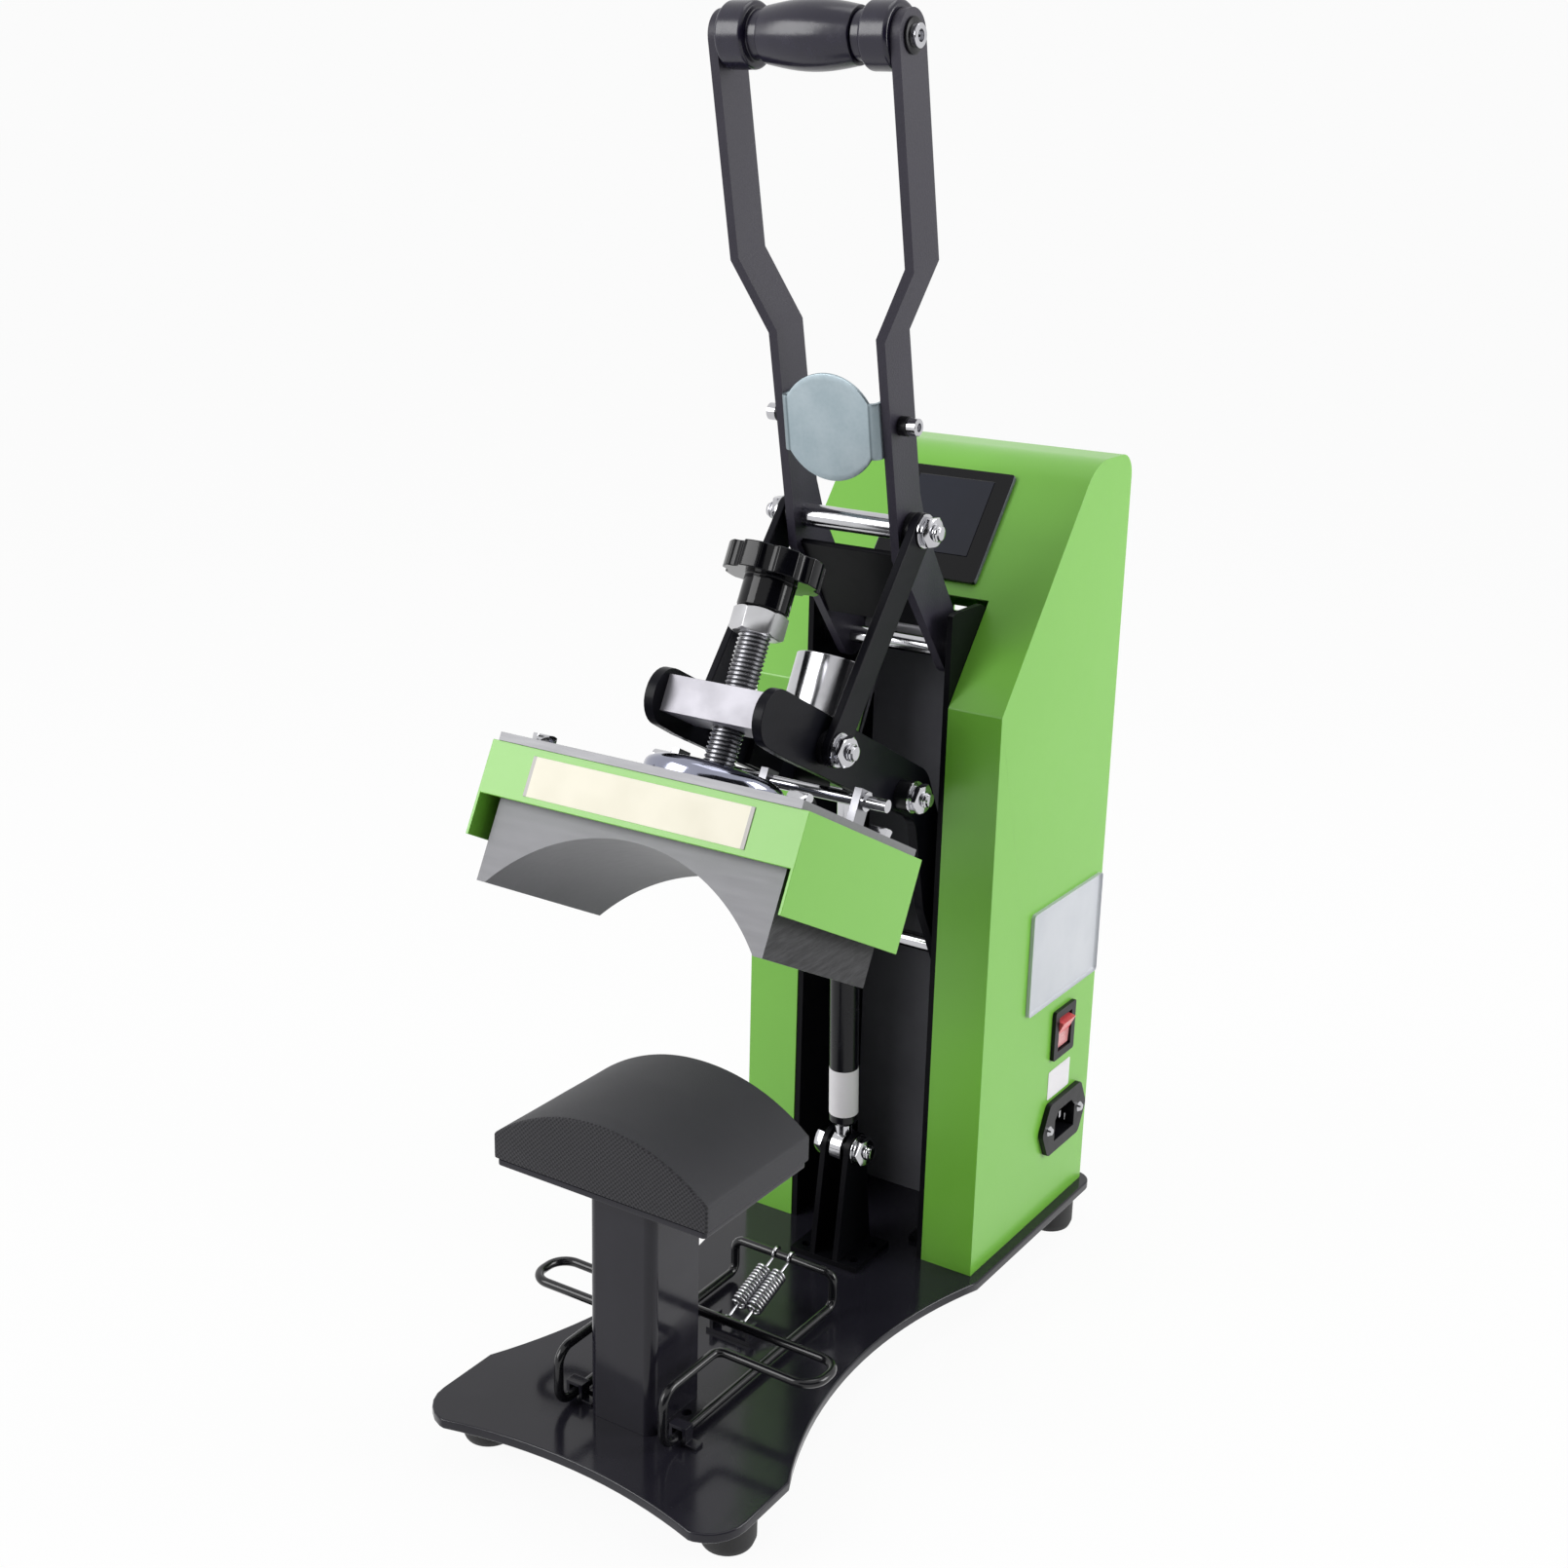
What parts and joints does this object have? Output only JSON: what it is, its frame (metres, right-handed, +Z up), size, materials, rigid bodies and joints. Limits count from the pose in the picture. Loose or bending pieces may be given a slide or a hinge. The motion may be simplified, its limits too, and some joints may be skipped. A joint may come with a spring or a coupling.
{
  "type": "cap heat press",
  "caption": "Cap heat press: swing-up curved heating head on a toggle handle with gas strut, over a crowned pad with a sprung wire cap clamp.",
  "frame": {"origin": "centre of the footprint on the surface the feet stand on", "axes": "+Z up, -Y towards the operator (front), +X to the operator's right, where the switch and inlet are"},
  "size_m": [0.172, 0.3866, 0.644],
  "materials": {
    "black_coat": "gloss black powder coat",
    "grey_coat": "dark grey fine wrinkle coat",
    "green_coat": "lime green powder coat",
    "bright_steel": "plated",
    "bar_steel": "bright satin",
    "zinc_plate": "zinc plated",
    "cast_aluminium": "machined",
    "plate_aluminium": "satin",
    "foot_rubber": "matte",
    "pad_silicone": "matte woven cover",
    "black_plastic": "satin",
    "knob_plastic": "gloss",
    "red_plastic": "gloss",
    "display": "dark glass",
    "board": "circuit board",
    "wire_coat": "gloss black coat",
    "element": "dull sheath"
  },
  "bodies": {
    "base": {"base_plate": "black_coat", "rubber_feet": "foot_rubber", "pedestal_post": "black_coat", "lower_platen": "black_coat", "lower_pad": "pad_silicone", "clamp_clips": "black_coat", "spring_anchors": "bright_steel", "clamp_springs": "bright_steel", "housing_shell": "green_coat", "back_cover": "green_coat", "housing_screws": "bright_steel", "control_panel": "black_plastic", "display_glass": "display", "control_board": "board", "switch_bezel": "black_plastic", "power_inlet": "black_plastic", "inlet_screws": "bright_steel", "frame_plate_left": "black_coat", "frame_plate_right": "black_coat", "frame_back": "black_coat", "spacer_rod": "bar_steel", "arm_pivot_rod": "bright_steel", "strut_bracket": "black_coat", "strut_bolt": "bright_steel"},
    "cap_clamp": {"clamp_wire": "wire_coat"},
    "rocker": {"rocker_switch": "red_plastic"},
    "strut_tube": {"strut_cylinder": "grey_coat"},
    "strut_piston": {"strut_rod": "bright_steel"},
    "arm": {"arm_plate_left": "black_coat", "arm_plate_right": "black_coat", "arm_crossbar": "bar_steel", "strut_top_bolt": "bright_steel", "link_bolts": "bright_steel", "electromagnet": "bright_steel", "magnet_bracket": "black_coat"},
    "links": {"link_left": "black_coat", "link_right": "black_coat"},
    "handle": {"handle_bar_left": "grey_coat", "handle_bar_right": "grey_coat", "handle_web": "black_coat", "top_pivot_tube": "bright_steel", "rear_pivot_rod": "bright_steel", "grip_barrel": "black_plastic", "grip_collars": "black_plastic", "grip_bolt": "bright_steel", "armature_disc": "zinc_plate", "armature_screws": "bright_steel"},
    "head": {"head_top_plate": "plate_aluminium", "head_bolts": "bright_steel", "head_hood": "green_coat", "heating_block": "cast_aluminium", "heating_element": "element", "guide_blocks": "bright_steel", "guide_rod": "bright_steel", "pressure_dish": "bright_steel"},
    "pressure_screw_unit": {"pressure_screw": "bar_steel", "lock_nut": "bright_steel", "pressure_knob": "knob_plastic"}
  },
  "joints": [
    {"name": "arm_hinge", "type": "hinge", "parent": "base", "child": "arm", "pos_m": [0, 0.095, 0.185], "axis": [1, 0, 0], "range_deg": [0, 27]},
    {"name": "link_hinge", "type": "hinge", "parent": "arm", "child": "links", "pos_m": [0, -0.03987, 0.3278], "axis": [1, 0, 0], "range_deg": [-44.6, 0]},
    {"name": "handle_hinge", "type": "hinge", "parent": "links", "child": "handle", "pos_m": [0, 0.03, 0.416], "axis": [1, 0, 0], "range_deg": [0, 97.4]},
    {"name": "strut_hinge", "type": "hinge", "parent": "base", "child": "strut_tube", "pos_m": [0, 0.041, 0.086], "axis": [1, 0, 0], "range_deg": [0, 14.3]},
    {"name": "strut_slide", "type": "slide", "parent": "strut_tube", "child": "strut_piston", "axis": [0, -0.0478, 0.9989], "range_m": [-0.0331, 0]},
    {"name": "head_slide", "type": "slide", "parent": "arm", "child": "head", "axis": [0, 0.454, 0.891], "range_m": [0, 0.003]},
    {"name": "screw_turn", "type": "hinge", "parent": "head", "child": "pressure_screw_unit", "pos_m": [0, -0.08427, 0.31226], "axis": [0, 0.454, 0.891], "range_deg": [0, 540]},
    {"name": "clamp_hinge", "type": "hinge", "parent": "base", "child": "cap_clamp", "pos_m": [0, -0.1435, 0.029], "axis": [1, 0, 0], "range_deg": [0, 14], "stiffness_Nm_per_rad": 1, "springref_deg": -6.88, "deforming": ["clamp_springs"]},
    {"name": "rocker_hinge", "type": "hinge", "parent": "base", "child": "rocker", "pos_m": [0.068, 0.14875, 0.13075], "axis": [0, 1, 0], "range_deg": [-28, 0]}
  ],
  "couplings": [
    {"joint": "link_hinge", "follows": "arm_hinge", "ratio": -1.6467},
    {"joint": "handle_hinge", "follows": "arm_hinge", "ratio": 3.6005},
    {"joint": "strut_hinge", "follows": "arm_hinge", "ratio": 0.5256},
    {"joint": "strut_slide", "follows": "arm_hinge", "m_per_rad": -0.0699},
    {"joint": "screw_turn", "follows": "head_slide", "rad_per_m": 3141.6}
  ]
}
